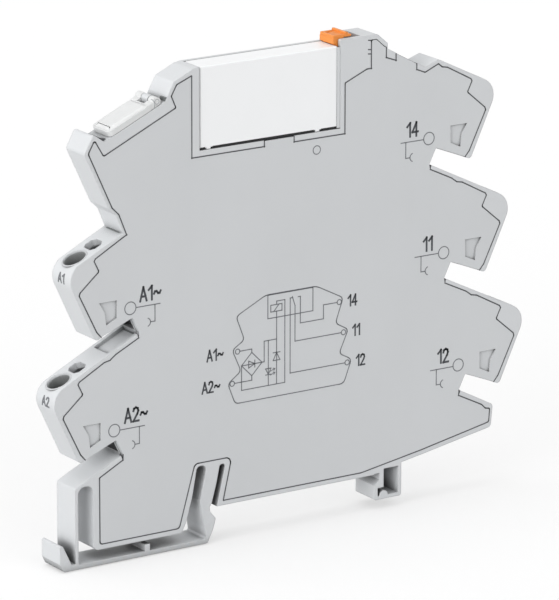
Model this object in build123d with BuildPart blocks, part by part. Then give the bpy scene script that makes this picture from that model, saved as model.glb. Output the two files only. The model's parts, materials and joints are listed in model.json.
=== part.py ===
import os
from math import atan, cos, degrees, radians, sin

from build123d import *

# Slim interface relay for a 35 mm rail. X runs along the rail's width, Y across the thin housing,
# with the side cover at the front (-Y), and Z points away from the rail. The origin is the middle
# of the rail's top face. All sizes are in millimetres.

# Housing thickness and walls
module_width = 6.0
side_wall = 0.8
rim_wall = 1.2
cover_seat = 0.6
cover_gap = 0.12
front_face = -module_width / 2
back_face = module_width / 2
cover_inside = front_face + side_wall
cavity_back = back_face - side_wall

# Rail seat, spring claw and release bar
seat_right = 16.9
seat_relief = 0.15
stop_rib_x = -30.1
stop_rib_width = 1.0
stop_rib_height = 1.2

# Terminal noses: each leans down and outwards, and is measured from its inner top corner
nose_tilt = 26.2
nose_length = 19.9
nose_height = 13.8
nose_corner_radius = 3.3
nose_heel_radius = 0.7
notch_along = 12.35
notch_depth = 14.43
notch_wall = 3.01
top_nose_x = 24.83
top_nose_z = 75.9

# Openings of each terminal, placed along the nose from its inner corner
wire_along = 15.8
wire_radius = 2.05
wire_funnel_depth = 5.3
driver_along = 11.7
driver_width = 3.2
driver_length = 2.7
driver_depth = 2.2
jumper_width = 3.6
jumper_height = 2.4
shelf_length = 6.5
shelf_depth = 0.6
overcut = 0.1

# Relay and its pocket
relay_left = -19.13
relay_bottom = 64.2
relay_length = 28.0
relay_width = 5.0
relay_height = 14.2
relay_back_gap = 0.05
case_wall = 0.5
case_gap = 0.05
case_chamfer = 0.2
base_thickness = 1.5
standoff_height = 0.3
standoff_width = 0.8
relay_side_gap = 0.17
socket_floor_top = 63.85
floor_hole_gap = 0.2
standoff_left = -17.4
standoff_right = 4.7
relay_right = relay_left + relay_length
relay_top = relay_bottom + relay_height
relay_back = cavity_back - relay_back_gap
relay_middle = relay_back - relay_width / 2

# Relay pins, from left to right: two for the coil, then closed, common and open contact
pin_width = 0.8
pin_thickness = 0.5
pin_length = 4.0
pin_gap = 0.05
coil_pin_left = -15.6
coil_pin_right = -11.8
closed_pin = -1.7
contact_pitch = 2.7
common_pin = closed_pin + contact_pitch
open_pin = common_pin + contact_pitch
pin_tip = relay_bottom - pin_length

# Lever and its pivot
pivot_x = 13.9
pivot_z = 65.6
pivot_radius = 1.0
pivot_gap = 0.05
pivot_depth = 0.55
lever_gap = 0.1
lever_boss = 2.2
lever_clearance = 0.23
lever_foot_width = 2.4
lever_foot_slot = 3.0
lever_foot_tip = 5.4
foot_slot_gap = 0.35
lever_foot_drop = 0.2
hook_gap = 0.2
hook_reach = 0.47
lever_bay_left = 9.3
lever_bay_right = 13.9
block_height = 79.5
lever_back = cavity_back - lever_gap
lever_front = cover_inside + lever_gap

# Current bars and clamp springs
bar_thickness = 0.8
bar_width = 2.0
bar_depth = 11.0
bar_bend = 12.9
clamp_along = 18.0
clamp_plate = 0.8
clamp_width = 3.4
clamp_top = 5.4
clamp_bottom = 12.0
spring_route = [(9.6, 9.6), (9.6, 4.4), (11.9, 4.0), (17.0, 9.0)]
spring_thickness = 0.35
spring_bend = 1.1
bar_back = relay_middle + bar_thickness / 2
fork_tine = 0.6
fork_top = 61.9
fork_throat = 59.6
fork_neck = 58.4

# Circuit board and its parts
board_thickness = 0.8
board_gap = 0.1
board_back = cavity_back - board_gap
board_front = board_back - board_thickness
peg_radius = 0.8
peg_gap = 0.1
peg_stand = 0.4
tab_width = 1.4
tab_place = -22.8
lead_height = 0.25
chip_chamfer = 0.15
board_pegs = [(-21.5, 56.0), (-8.0, 15.0)]
board_outline = [
    (-24.0, 12.5),
    (-5.0, 12.5),
    (-5.0, 61.5),
    (-21.8, 61.5),
    (-21.8, 66.5),
    (-31.5, 66.5),
    (-31.5, 60.0),
    (-24.0, 55.0),
]

# Light guide, over the status LED
guide_x = -30.3
guide_y = 0.3
guide_width = 1.4
guide_depth = 1.8
guide_length = 5.6
guide_bottom = 65.4
guide_gap = 0.1
guide_hole_bottom = 66.0

# Magnet and contacts inside the relay
coil_axis_z = 71.6
core_width = 1.6
core_height = 3.0
spool_wall = 0.35
winding_width = 3.5
winding_height = 7.0
winding_corner = 1.2
flange_width = 3.7
flange_height = 8.2
flange_thickness = 0.5
flange_left = -16.5
flange_right = -3.9
core_gap = 0.03
yoke_width = 3.4
yoke_thickness = 1.0
yoke_leg = 0.9
yoke_leg_left = -3.5
yoke_leg_top = 74.4
yoke_bottom = relay_bottom + base_thickness + case_gap
armature_thickness = 0.8
armature_x = -17.55
armature_bottom = 66.0
armature_top = 77.0
pole_gap = 0.45
card_bottom = 75.85
card_height = 0.9
card_width = 2.0
card_gap = 0.1
blade_thickness = 0.25
blade_width = 2.2
blade_top = 77.0
strip_thickness = 0.3
strip_width = 2.4
rivet_radius = 0.7
rivet_z = 73.4
rivet_height = 0.48
strip_top = 75.0
strip_rise = 2.0
strip_slope = 3.3
strip_bend = 0.6
rivet_reach = 0.45
closed_gap = 0.02
open_gap = 0.45
base_top = relay_bottom + base_thickness

# Marker channel and its clear cover
hinge_x = -27.7
hinge_z = 73.5
hinge_radius = 0.75
hinge_pin = 0.4
hinge_gap = 0.05
hinge_lug = 2.0
hinge_root = 1.6
marker_length = 10.0
marker_rise = 0.45
marker_width = 5.8
marker_bottom = -0.6
marker_start = 1.3
marker_crown = 0.75
ear_length = 1.6
tab_along = 3.1
recess_depth = 0.35


def layer(back):
    """A drawing plane across the housing; what is drawn there is extruded towards the front."""
    return Plane.XZ.offset(-back)


def rounded_face(corners):
    """A closed face whose corners each carry their own radius."""
    Polygon(*[(x, z) for x, z, radius in corners])
    for size in sorted({radius for x, z, radius in corners if radius > 0}):
        places = [Vector(x, z) for x, z, radius in corners if radius == size]
        fillet([vertices().sort_by_distance(place)[0] for place in places], size)


def nose_point(nose, along, depth):
    """A point of a nose, from its inner top corner: along its top edge, and down into it."""
    side, corner_x, corner_z = nose
    x = corner_x + along * cos(radians(nose_tilt)) - depth * sin(radians(nose_tilt))
    z = corner_z - along * sin(radians(nose_tilt)) - depth * cos(radians(nose_tilt))
    return side * x, z


def nose_below(nose):
    """The next nose down on the same side."""
    side, corner_x, corner_z = nose
    x, z = nose_point((1, corner_x, corner_z), notch_along, notch_depth + notch_wall)
    return side, x, z


def nose_plane(nose, along):
    """A plane on the top edge of a nose, with its normal pointing out of the terminal."""
    x, z = nose_point(nose, along, 0)
    normal = (nose[0] * sin(radians(nose_tilt)), 0, cos(radians(nose_tilt)))
    return Plane(origin=(x, 0, z), x_dir=(0, 1, 0), z_dir=normal)


nose_14 = (1, top_nose_x, top_nose_z)
nose_11 = nose_below(nose_14)
nose_12 = nose_below(nose_11)
nose_a1 = (-1, nose_11[1], nose_11[2])
nose_a2 = (-1, nose_12[1], nose_12[2])
terminals = {"14": nose_14, "11": nose_11, "12": nose_12, "a1": nose_a1, "a2": nose_a2}

# Corners of one nose as along, depth and radius
nose_corners = [
    (nose_length, 0, nose_corner_radius),
    (nose_length + 0.28, nose_height, nose_heel_radius),
    (notch_along, notch_depth, 0.2),
]

# How far the cut of the cover's seat runs out past the housing where the cover ends flush with it
past_edge = 0.3

# Edge of the cover over one nose as along, depth and radius
cover_nose_end = (18.93, 13.9)
cover_nose_start = [(0.5, 0.7, 0), (5.5, 0.65, 0), (6.9, 0.9, 0)]
cover_nose_rest = [
    (8.0, 0.6, 0),
    (13.7, 0.8, 0),
    (14.15, 1.1, 0),
    (14.15, 3.2, 0.3),
    (18.9, 4.4, 0.3),
    (19.3, 4.8, 0.3),
    (19.3, 12.5, 0.6),
]


def nose_run(nose, corners):
    """Corners of a nose turned into places of the housing."""
    return [(*nose_point(nose, along, depth), radius) for along, depth, radius in corners]


# Outline of the housing, clockwise from the top left corner of the relay pocket
top_edge = [
    (relay_left - relay_side_gap, relay_top, 0),
    (lever_bay_left, relay_top, 0),
    (lever_bay_left, block_height, 0.2),
    (17.0, block_height, 0.6),
    (19.1, 77.7, 0.3),
    (19.1, 76.7, 0),
    (27.0, 72.4, 0.3),
    (*nose_point(nose_14, 5.65, 0), 0.3),
]
right_edge = (
    nose_run(nose_14, nose_corners)
    + nose_run(nose_11, [(0, 0, 0)] + nose_corners)
    + nose_run(nose_12, [(0, 0, 0)] + nose_corners)
)
belly_right = [
    (*nose_point(nose_12, notch_along, notch_depth + notch_wall), 0),
    (42.3, 8.8, 0.8),
    (41.9, 4.7, 0.8),
    (26.9, 2.05, 0),
    (22.65, 1.35, 0),
]
right_foot = [
    (22.65, -4.75, 0.5),
    (17.0, -4.75, 0.3),
    (17.0, -2.1, 0),
    (18.0, -1.05, 0),
    (18.0, seat_relief, 0),
    (seat_right, seat_relief, 0),
    (seat_right, 0, 0),
]
claw_face = [
    (-15.95, 0, 0),
    (-14.2, 7.5, 0.4),
    (-15.35, 7.5, 0.4),
    (-16.1, 4.1, 0),
    (-17.0, 0.9, 0),
    (-17.45, 0.1, 0),
    (-17.35, -0.7, 0),
    (-16.2, -2.1, 0.5),
    (-16.7, -3.9, 0),
    (-17.9, -6.35, 0.4),
]
release_tab = [
    (-46.9, -6.35, 0.6),
    (-47.6, -4.9, 0.4),
    (-47.6, -1.7, 0.25),
    (-47.0, -1.7, 0.25),
    (-45.3, -5.3, 0),
    (-44.5, -5.3, 0),
    (-44.5, 8.0, 0.4),
    (-42.6, 9.0, 0.6),
]
left_edge = (
    nose_run(nose_a1, [(7.13, 0, 0)] + nose_corners)
    + nose_run(nose_a2, [(0, 0, 0)] + nose_corners + [(notch_along, notch_depth + notch_wall, 0)])
)
marker_nose = [
    (-36.0, 55.0, 0.5),
    (-37.4, 56.3, 0.5),
    (-42.1, 66.3, 0.8),
    (-40.3, 69.5, 0.5),
    (-38.1, 67.95, 0.3),
    (-26.1, 73.35, 0),
    (-25.6, 74.3, 0),
    (-24.4, 76.5, 0.5),
    (-20.6, 78.2, 0.3),
]
housing_right = top_edge + right_edge + belly_right + right_foot
housing_outline = housing_right + claw_face + release_tab + left_edge[::-1] + marker_nose

# Core pocket of the fixed foot, and the round rib that stands in its corner
foot_core = [(18.9, -2.6), (18.9, 0.8), (22.0, 0.8), (22.0, -4.1), (18.9, -4.1), (17.65, -4.1), (17.65, -2.6)]
foot_rib_radius = 0.9

# Slot that frees the spring claw, its bar and the strap from the housing
spring_slot = [
    (-43.9, 8.2, 1.3),
    (-40.9, 8.2, 1.3),
    (-40.9, -3.55, 1.0),
    (-23.2, -3.55, 0.6),
    (-22.3, -1.9, 0),
    (-21.0, 2.6, 0),
    (-20.0, 7.9, 0.8),
    (-18.0, 7.9, 0.8),
    (-18.6, 5.1, 0),
    (-19.4, 1.6, 0),
    (-19.15, -0.4, 0),
    (-18.4, -3.4, 0),
    (-18.1, -5.5, 0.4),
    (-43.9, -5.5, 0.4),
]

# Edge of the side cover, clockwise from the lower left corner of the relay window
cover_window = [
    (-20.8, 62.85, 0),
    (-6.3, 62.85, 0),
    (-6.3, 63.85, 0),
    (-0.1, 63.85, 0),
    (-0.1, 62.85, 0),
    (10.24, 62.85, 0),
    (10.24, 71.8, 0.3),
    (14.8, 73.7, 0.3),
    (15.65, 73.7, 0),
    (15.65, 78.7, 0.3),
    (16.8, 78.7, 0.4),
    (18.4, 77.3, 0.2),
    (18.9, 77.0, 0),
    (18.9, 75.2, 0),
    (20.8, 74.5, 0),
]
cover_slope = [(20.8, 75.77), (25.3, 73.32)]
cover_shoulder = [
    (25.3, 72.25, 0),
    (27.0, 71.55, 0.3),
    (*nose_point(nose_14, 5.9, 0.65), 0.3),
    (*nose_point(nose_14, 6.9, 0.9), 0.3),
]
cover_bottom = [
    (34.9, 11.7, 0),
    (39.9, 9.2, 0.6),
    (40.7, 8.4, 0.3),
    (41.7, 8.2, 0.4),
    (41.5, 5.6, 0.5),
    (26.9, 2.85, 0),
    (14.1, 0.8, 0),
    (-14.75, 0.8, 0),
    (-13.0, 8.4, 0.9),
    (-20.4, 8.4, 0.9),
    (-23.6, -2.7, 0.8),
    (-39.7, -2.7, 0.6),
    (-39.7, 9.3, 0.3),
    (-35.0, 11.7, 0),
]
cover_marker = [
    (-34.0, 51.3, 0),
    (-35.5, 55.0, 0.4),
    (-36.8, 56.3, 0.4),
    (-41.4, 66.3, 0.8),
    (-40.1, 68.6, 0.3),
    (-38.3, 65.6, 0.3),
    (-24.1, 72.0, 0.2),
    (-25.0, 74.1, 0.3),
    (-23.9, 76.0, 0.4),
    (-20.8, 77.2, 0),
]


def cover_outline(past):
    """Edge of the side cover, run out past the housing where the two end flush."""
    slope = [(x, z + past, 0) for x, z in cover_slope]
    nose_under = cover_nose_rest + [
        (cover_nose_end[0], cover_nose_end[1] + past, 0),
        (notch_along + past, notch_depth + past, 0.2),
        (notch_along + past, notch_depth + notch_wall - past, 0),
    ]
    right = nose_run(nose_14, nose_under)
    right += nose_run(nose_11, cover_nose_start + nose_under)
    right += nose_run(nose_12, cover_nose_start + nose_under)
    left = nose_run(nose_a1, nose_under) + nose_run(nose_a2, cover_nose_start + nose_under)
    return cover_window + slope + cover_shoulder + right + cover_bottom + left[::-1] + cover_marker


# Drawings that several pieces share
with BuildSketch(layer(cover_inside)) as cover_face:
    rounded_face(cover_outline(past_edge))

with BuildSketch(layer(cavity_back)) as rim_limit:
    Polygon(*[(x, z) for x, z, radius in housing_outline])
    offset(amount=-rim_wall, kind=Kind.INTERSECTION)

with BuildSketch(layer(cavity_back)) as cavity_face:
    rounded_face(cover_outline(0))
    offset(amount=-cover_seat, kind=Kind.INTERSECTION)
    add(rim_limit.sketch_local, mode=Mode.INTERSECT)

pocket_left = relay_left - relay_side_gap
open_top = block_height + rim_wall
relay_pocket = [
    (pocket_left, socket_floor_top),
    (lever_bay_left, socket_floor_top),
    (lever_bay_left, open_top),
    (pocket_left, open_top),
]
lever_bay = [
    (lever_bay_left - rim_wall, socket_floor_top),
    (lever_bay_right, socket_floor_top),
    (lever_bay_right, open_top),
    (lever_bay_left - rim_wall, open_top),
]

# The housing seen from the front, with the spring claw and its bar freed, and a stop rib on the bar
with BuildSketch(layer(back_face)) as housing_face:
    rounded_face(housing_outline)
    with BuildSketch(Plane.XY, mode=Mode.PRIVATE) as slot:
        rounded_face(spring_slot)
        with Locations((stop_rib_x, spring_slot[-1][1] + stop_rib_height / 2)):
            Rectangle(stop_rib_width, stop_rib_height, mode=Mode.SUBTRACT)
    add(slot.sketch_local, mode=Mode.SUBTRACT)

with BuildSketch(layer(cover_inside)) as side_cover_face:
    rounded_face(cover_outline(0))
    offset(amount=-cover_gap, kind=Kind.INTERSECTION)
    add(housing_face.sketch_local, mode=Mode.INTERSECT)

socket_pins = [coil_pin_left, coil_pin_right, closed_pin, common_pin, open_pin]

# Housing shell, with back wall, rim, socket floor, wire funnels and rail foot
with BuildPart() as housing_shell:
    with BuildSketch(layer(back_face)):
        add(housing_face.sketch_local)
    extrude(amount=side_wall)
    with BuildSketch(layer(cavity_back)):
        add(housing_face.sketch_local)
        add(cavity_face.sketch_local, mode=Mode.SUBTRACT)
        with BuildSketch(Plane.XY, mode=Mode.PRIVATE) as pocket:
            Polygon(*relay_pocket)
            Polygon(*lever_bay)
        add(pocket.sketch_local, mode=Mode.SUBTRACT)
    extrude(amount=cavity_back - cover_inside)
    with BuildSketch(layer(cover_inside)):
        add(housing_face.sketch_local)
        add(cover_face.sketch_local, mode=Mode.SUBTRACT)
        with BuildSketch(Plane.XY, mode=Mode.PRIVATE) as window:
            Polygon(*relay_pocket)
        add(window.sketch_local, mode=Mode.SUBTRACT)
    extrude(amount=side_wall)
    # Slot in the socket floor for the lever's foot, and holes for the relay's pins
    foot_slot_left = lever_foot_tip - foot_slot_gap
    with BuildSketch(Plane.XY.offset(socket_floor_top)):
        with Locations(((foot_slot_left + lever_bay_right) / 2, 0)):
            Rectangle(lever_bay_right - foot_slot_left, lever_foot_slot)
        with Locations([(place, relay_middle) for place in socket_pins]):
            Rectangle(pin_width + 2 * floor_hole_gap, pin_thickness + 2 * floor_hole_gap)
    extrude(amount=-2 * rim_wall, mode=Mode.SUBTRACT)
    # Blind hole for the lever's pivot
    with BuildSketch(layer(cavity_back + pivot_depth + pivot_gap)):
        with Locations((pivot_x, pivot_z)):
            Circle(pivot_radius + pivot_gap)
    extrude(amount=pivot_depth + pivot_gap, mode=Mode.SUBTRACT)
    # Wire funnels and driver openings
    for nose in terminals.values():
        with BuildSketch(nose_plane(nose, wire_along)):
            Circle(wire_radius)
        extrude(amount=-wire_funnel_depth, mode=Mode.SUBTRACT)
        with BuildSketch(nose_plane(nose, driver_along)):
            driver_opening = Rectangle(driver_width, driver_length)
            chamfer(driver_opening.vertices(), driver_length / 4)
        extrude(amount=-driver_depth, mode=Mode.SUBTRACT)
    # Jumper openings in the notch walls, and the shelves below them
    for nose in (nose_14, nose_11, nose_a1):
        opening_top = notch_depth + (notch_wall - jumper_height) / 2
        opening = [
            (notch_along - rim_wall - cover_seat, opening_top),
            (notch_along + overcut, opening_top),
            (notch_along + overcut, opening_top + jumper_height),
            (notch_along - rim_wall - cover_seat, opening_top + jumper_height),
        ]
        with BuildSketch(layer(jumper_width / 2)):
            Polygon(*[nose_point(nose, along, depth) for along, depth in opening])
        extrude(amount=jumper_width, mode=Mode.SUBTRACT)
    for nose in (nose_11, nose_12, nose_a2):
        shelf = [
            (0, -overcut),
            (shelf_length, -overcut),
            (shelf_length, shelf_depth),
            (0, shelf_depth),
        ]
        with BuildSketch(layer(cavity_back)):
            Polygon(*[nose_point(nose, along, depth) for along, depth in shelf])
        extrude(amount=cavity_back - cover_inside, mode=Mode.SUBTRACT)
    # Core pocket of the fixed foot
    with BuildSketch(layer(cavity_back)):
        Polygon(*foot_core)
        with Locations(foot_core[-3]):
            Circle(foot_rib_radius, mode=Mode.SUBTRACT)
    extrude(amount=cavity_back - front_face, mode=Mode.SUBTRACT)
    # Opening for the light guide in the channel floor
    with BuildSketch(Plane.XY.offset(guide_hole_bottom)):
        with Locations((guide_x, guide_y)):
            Rectangle(guide_width + 2 * guide_gap, guide_depth + 2 * guide_gap)
    extrude(amount=hinge_z - guide_hole_bottom, mode=Mode.SUBTRACT)
    # Lug of the marker cover's hinge
    with BuildSketch(layer(hinge_lug / 2)):
        with Locations((hinge_x, hinge_z)):
            Circle(hinge_radius)
        with Locations((hinge_x, hinge_z - hinge_root / 2)):
            Rectangle(2 * hinge_radius, hinge_root)
        with Locations((hinge_x, hinge_z)):
            Circle(hinge_pin + hinge_gap, mode=Mode.SUBTRACT)
    extrude(amount=hinge_lug)
    # Pegs that hold the circuit board
    with BuildSketch(layer(cavity_back)):
        with Locations(board_pegs):
            Circle(peg_radius)
    extrude(amount=board_gap + board_thickness + peg_stand)

# Side cover with its recesses and the pivot's blind hole
recess_corners = [(13.4, 9.8), (16.55, 8.25), (16.35, 10.35), (17.1, 12.5), (14.8, 12.55)]
with BuildPart() as side_cover:
    with BuildSketch(layer(cover_inside)):
        add(side_cover_face.sketch_local)
    extrude(amount=side_wall)
    with BuildSketch(layer(cover_inside)):
        with Locations((pivot_x, pivot_z)):
            Circle(pivot_radius + pivot_gap)
    extrude(amount=pivot_depth + pivot_gap, mode=Mode.SUBTRACT)
    # Sunk fields on the nose cheeks
    for nose in terminals.values():
        with BuildSketch(layer(front_face + recess_depth)):
            Polygon(*[nose_point(nose, along, depth) for along, depth in recess_corners])
        extrude(amount=recess_depth, mode=Mode.SUBTRACT)

# Ejector lever: stem and boss at full width, a narrower foot below the relay, two pivot pins
lever_left = relay_right + lever_clearance
foot_top = relay_bottom - lever_foot_drop
lever_outline = [
    (lever_left, foot_top + 0.05, 0),
    (lever_left, relay_top + hook_gap, 0),
    (relay_right - hook_reach, relay_top + hook_gap, 0.1),
    (relay_right - hook_reach, relay_top + 1.3, 0.3),
    (10.9, 80.05, 0),
    (10.9, 80.45, 0.15),
    (11.5, 80.45, 0.15),
    (11.5, 80.05, 0),
    (12.1, 80.05, 0.1),
    (12.1, 79.65, 0.1),
    (10.5, 79.65, 0.2),
    (10.5, 73.5, 1.5),
    (15.0, 66.9, 0.5),
    (13.0, 65.2, 0),
]
lever_foot_outline = [
    (lever_foot_tip, foot_top, 0.3),
    (lever_left + 1.0, foot_top, 0),
    (pivot_x - 0.5, pivot_z - 0.5, 0),
    (pivot_x - 0.5, pivot_z - lever_boss + 0.2, 0),
    (lever_left + 0.4, foot_top - 1.3, 0),
    (lever_foot_tip, foot_top - 0.9, 0.3),
]
with BuildPart() as ejector_lever:
    with BuildSketch(layer(lever_back)):
        rounded_face(lever_outline)
        with Locations((pivot_x, pivot_z)):
            Circle(lever_boss)
    extrude(amount=lever_back - lever_front)
    with BuildSketch(layer(lever_foot_width / 2)):
        rounded_face(lever_foot_outline)
    extrude(amount=lever_foot_width)
    with BuildSketch(layer(lever_back + lever_gap + pivot_depth)):
        with Locations((pivot_x, pivot_z)):
            Circle(pivot_radius)
    extrude(amount=lever_back - lever_front + 2 * (lever_gap + pivot_depth))

# Clear marker cover: two hinge ears with a cross pin, a bowed plate and a lifting tab
floor_angle = degrees(atan(marker_rise))
channel = Plane(
    origin=(hinge_x, 0, hinge_z),
    x_dir=(-cos(radians(floor_angle)), 0, -sin(radians(floor_angle))),
    z_dir=(0, 1, 0),
)
ear_depth = marker_width / 2 - hinge_lug / 2 - hinge_gap
plate_start = (marker_start, 0.55)
plate_end = (marker_length, 0.2)
with BuildPart() as marker_cover:
    with BuildSketch(channel.offset(-marker_width / 2)):
        with BuildLine():
            Polyline(plate_start, (marker_start, marker_bottom), (marker_length, marker_bottom), plate_end)
            ThreePointArc(plate_end, (marker_length / 2, marker_crown), plate_start)
        make_face()
        with Locations((tab_along, 1.0)):
            RectangleRounded(0.9, 1.8, 0.2)
    extrude(amount=marker_width)
    with BuildSketch(channel.offset(-marker_width / 2)):
        Circle(hinge_radius)
        with Locations((ear_length / 2, 0)):
            Rectangle(ear_length, 2 * -marker_bottom)
    extrude(amount=ear_depth)
    with BuildSketch(channel.offset(marker_width / 2 - ear_depth)):
        Circle(hinge_radius)
        with Locations((ear_length / 2, 0)):
            Rectangle(ear_length, 2 * -marker_bottom)
    extrude(amount=ear_depth)
    with BuildSketch(channel.offset(-marker_width / 2)):
        Circle(hinge_pin)
    extrude(amount=marker_width)

# Relay case, open below, with four stand-offs under its long walls
standoffs = (standoff_left, standoff_right)
wall_middle = relay_width / 2 - case_wall / 2
with BuildPart() as relay_case:
    with BuildSketch(Plane.XY.offset(relay_bottom)):
        with Locations((relay_left + relay_length / 2, relay_middle)):
            Rectangle(relay_length, relay_width)
    extrude(amount=relay_height)
    chamfer(relay_case.edges().filter_by(Axis.Z), case_chamfer)
    chamfer(relay_case.edges().group_by(Axis.Z)[-1], case_chamfer)
    offset(amount=-case_wall, openings=relay_case.faces().sort_by(Axis.Z)[0])
    with BuildSketch(Plane.XY.offset(relay_bottom)):
        with Locations([(x, relay_middle + y) for x in standoffs for y in (-wall_middle, wall_middle)]):
            Rectangle(standoff_width, case_wall)
    extrude(amount=-standoff_height)

# Relay base with slots for the pins
with BuildPart() as relay_base:
    with BuildSketch(Plane.XY.offset(relay_bottom)):
        with Locations((relay_left + relay_length / 2, relay_middle)):
            Rectangle(
                relay_length - 2 * (case_wall + case_gap),
                relay_width - 2 * (case_wall + case_gap),
            )
    extrude(amount=base_thickness)
    with BuildSketch(Plane.XY.offset(base_top)):
        with Locations([(place, relay_middle) for place in socket_pins]):
            Rectangle(pin_width + 2 * core_gap, pin_thickness + 2 * core_gap)
    extrude(amount=-base_thickness, mode=Mode.SUBTRACT)


def flat_pin(place, top):
    """A flat relay pin from its tip up to a height."""
    with BuildPart() as pin:
        with BuildSketch(Plane.XY.offset(pin_tip)):
            with Locations((place, relay_middle)):
                Rectangle(pin_width, pin_thickness)
        extrude(amount=top - pin_tip)
        chamfer(pin.edges().group_by(Axis.Z)[0].filter_by(Axis.Y), pin_width / 4)
    return pin.part


with BuildPart() as coil_pin_a1:
    add(flat_pin(coil_pin_left, base_top))

with BuildPart() as coil_pin_a2:
    add(flat_pin(coil_pin_right, base_top))

with BuildPart() as common_terminal:
    add(flat_pin(common_pin, base_top))

# Magnet: bobbin, winding, core and yoke
coil_middle = (relay_middle, coil_axis_z)
spool_width = core_width + 2 * (core_gap + spool_wall)
spool_height = core_height + 2 * (core_gap + spool_wall)
with BuildPart() as coil_bobbin:
    with BuildSketch(Plane.YZ.offset(flange_left)):
        with Locations(coil_middle):
            Rectangle(spool_width, spool_height)
    extrude(amount=flange_right - flange_left)
    for edge_x in (flange_left, flange_right - flange_thickness):
        with BuildSketch(Plane.YZ.offset(edge_x)):
            with Locations(coil_middle):
                RectangleRounded(flange_width, flange_height, 0.4)
        extrude(amount=flange_thickness)
    with BuildSketch(Plane.YZ.offset(flange_left)):
        with Locations(coil_middle):
            Rectangle(core_width + 2 * core_gap, core_height + 2 * core_gap)
    extrude(amount=flange_right - flange_left, mode=Mode.SUBTRACT)

with BuildPart() as coil_winding:
    with BuildSketch(Plane.YZ.offset(flange_left + flange_thickness + core_gap)):
        with Locations(coil_middle):
            RectangleRounded(winding_width, winding_height, winding_corner)
            Rectangle(spool_width + 2 * core_gap, spool_height + 2 * core_gap, mode=Mode.SUBTRACT)
    extrude(amount=flange_right - flange_left - 2 * (flange_thickness + core_gap))

core_left = armature_x + pole_gap
with BuildPart() as coil_core:
    with BuildSketch(Plane.YZ.offset(core_left)):
        with Locations(coil_middle):
            Rectangle(core_width, core_height)
    extrude(amount=yoke_leg_left + yoke_leg - core_left)

with BuildPart() as yoke:
    with BuildSketch(layer(relay_middle + yoke_width / 2)):
        rounded_face(
            [
                (armature_x + card_gap, yoke_bottom, 0),
                (armature_x + card_gap, yoke_bottom + yoke_thickness, 0),
                (yoke_leg_left, yoke_bottom + yoke_thickness, 0.3),
                (yoke_leg_left, yoke_leg_top, 0),
                (yoke_leg_left + yoke_leg, yoke_leg_top, 0),
                (yoke_leg_left + yoke_leg, yoke_bottom, 0.8),
            ]
        )
    extrude(amount=yoke_width)
    with BuildSketch(Plane.YZ.offset(yoke_leg_left)):
        with Locations(coil_middle):
            Rectangle(core_width + 2 * core_gap, core_height + 2 * core_gap)
    extrude(amount=yoke_leg, mode=Mode.SUBTRACT)

# Moving chain: armature, pusher card and contact blade
with BuildPart() as armature:
    with BuildSketch(Plane.YZ.offset(armature_x)):
        with Locations((relay_middle, (armature_bottom + armature_top) / 2)):
            RectangleRounded(yoke_width, armature_top - armature_bottom, 0.4)
    extrude(amount=-armature_thickness)

card_left = armature_x + card_gap
card_right = common_pin - blade_thickness / 2 - card_gap
with BuildPart() as pusher_card:
    with BuildSketch(layer(relay_middle + card_width / 2)):
        with Locations(((card_left + card_right) / 2, card_bottom + card_height / 2)):
            Rectangle(card_right - card_left, card_height)
    extrude(amount=card_width)

blade_bottom = base_top + case_gap
with BuildPart() as moving_contact_blade:
    with BuildSketch(Plane.YZ.offset(common_pin - blade_thickness / 2)):
        with Locations((relay_middle, (blade_bottom + blade_top) / 2)):
            Rectangle(blade_width, blade_top - blade_bottom)
    extrude(amount=blade_thickness)
    with BuildSketch(Plane.YZ.offset(common_pin - rivet_reach)):
        with Locations((relay_middle, rivet_z)):
            Circle(rivet_radius)
    extrude(amount=2 * rivet_reach)


def contact_strip(pin_x, strip_x, rivet_from, rivet_to):
    """A fixed contact: flat pin, bent strip and rivet, stamped and riveted as one."""
    with BuildPart() as contact:
        with BuildSketch(layer(relay_middle + strip_width / 2)):
            with BuildLine():
                FilletPolyline(
                    (pin_x, base_top),
                    (pin_x, base_top + strip_rise),
                    (strip_x, base_top + strip_rise + strip_slope),
                    (strip_x, strip_top),
                    radius=strip_bend,
                )
            trace(line_width=strip_thickness)
        extrude(amount=strip_width)
        add(flat_pin(pin_x, base_top))
        with BuildSketch(Plane.YZ.offset(rivet_from)):
            with Locations((relay_middle, rivet_z)):
                Circle(rivet_radius)
        extrude(amount=rivet_to - rivet_from)
    return contact.part


closed_face = common_pin - rivet_reach - closed_gap
open_face = common_pin + rivet_reach + open_gap
with BuildPart() as normally_closed_contact:
    add(contact_strip(closed_pin, closed_face - rivet_height, closed_face - rivet_height, closed_face))

with BuildPart() as normally_open_contact:
    add(contact_strip(open_pin, open_face + rivet_height, open_face, open_face + rivet_height))


def fork(place):
    """A fork that grips a relay pin from both sides."""
    slot_edge = pin_width / 2 + pin_gap
    outer_edge = slot_edge + fork_tine
    with BuildPart() as tines:
        with BuildSketch(layer(bar_back)):
            Polygon(
                (place - outer_edge, fork_neck),
                (place - outer_edge, fork_top),
                (place - slot_edge, fork_top),
                (place - slot_edge, fork_throat),
                (place + slot_edge, fork_throat),
                (place + slot_edge, fork_top),
                (place + outer_edge, fork_top),
                (place + outer_edge, fork_neck),
            )
        extrude(amount=bar_thickness)
    return tines.part


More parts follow.
